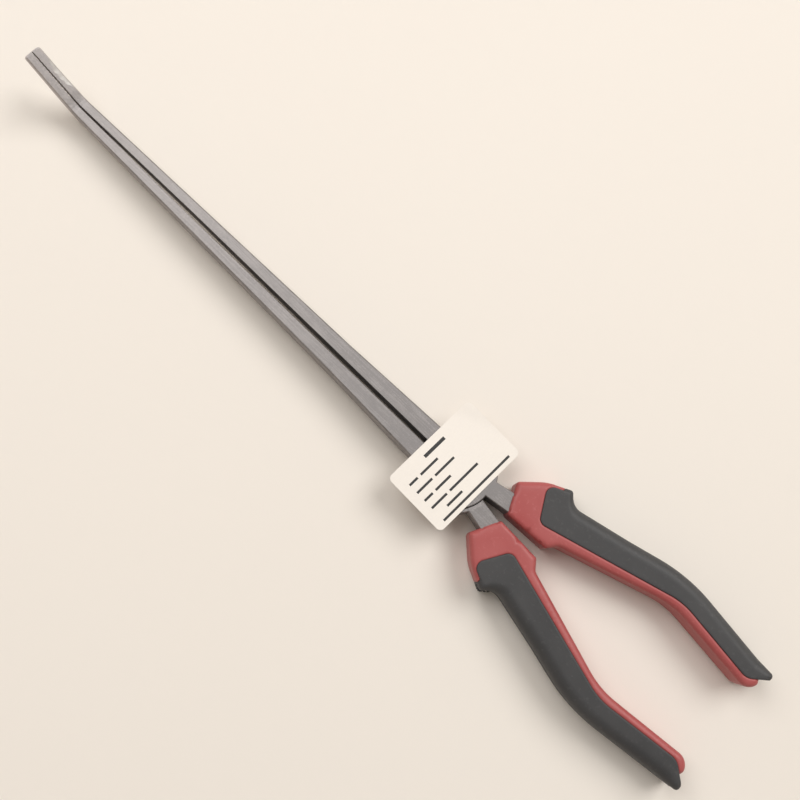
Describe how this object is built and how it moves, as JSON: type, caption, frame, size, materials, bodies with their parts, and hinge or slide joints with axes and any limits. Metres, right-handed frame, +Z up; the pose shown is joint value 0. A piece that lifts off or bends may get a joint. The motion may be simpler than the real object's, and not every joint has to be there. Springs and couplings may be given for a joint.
{
  "type": "bent long nose pliers",
  "caption": "Extra-long-reach bent-nose pliers with a riveted lap joint, upturned tip, two-colour moulded grips and a blank paper label over the joint.",
  "frame": {"origin": "on the resting plane, under the middle of the overall length and width", "axes": "+X along the nose from the grips towards the tip, +Z up along the rivet, +Y towards the left handle"},
  "size_m": [0.3501, 0.0606, 0.0244],
  "materials": {
    "forged_steel": "ground bare steel, satin, with fine grinding lines",
    "rivet_steel": "ground flush, satin",
    "sleeve_red": "satin moulded elastomer over polypropylene",
    "overlay_black": "matte soft-touch rubber",
    "label_paper": "blank matte paper"
  },
  "bodies": {
    "left_handle_half": {"lower_half": "forged_steel", "pivot_rivet": "rivet_steel", "left_sleeve": "sleeve_red", "left_overlay": "overlay_black"},
    "right_handle_half": {"upper_half": "forged_steel", "right_sleeve": "sleeve_red", "right_overlay": "overlay_black", "paper_label": "label_paper"}
  },
  "joints": [
    {"name": "plier_pivot", "type": "hinge", "parent": "left_handle_half", "child": "right_handle_half", "pos_m": [-0.04904, 0, 0.007], "axis": [0, 0, 1], "range_deg": [0, 28]}
  ]
}
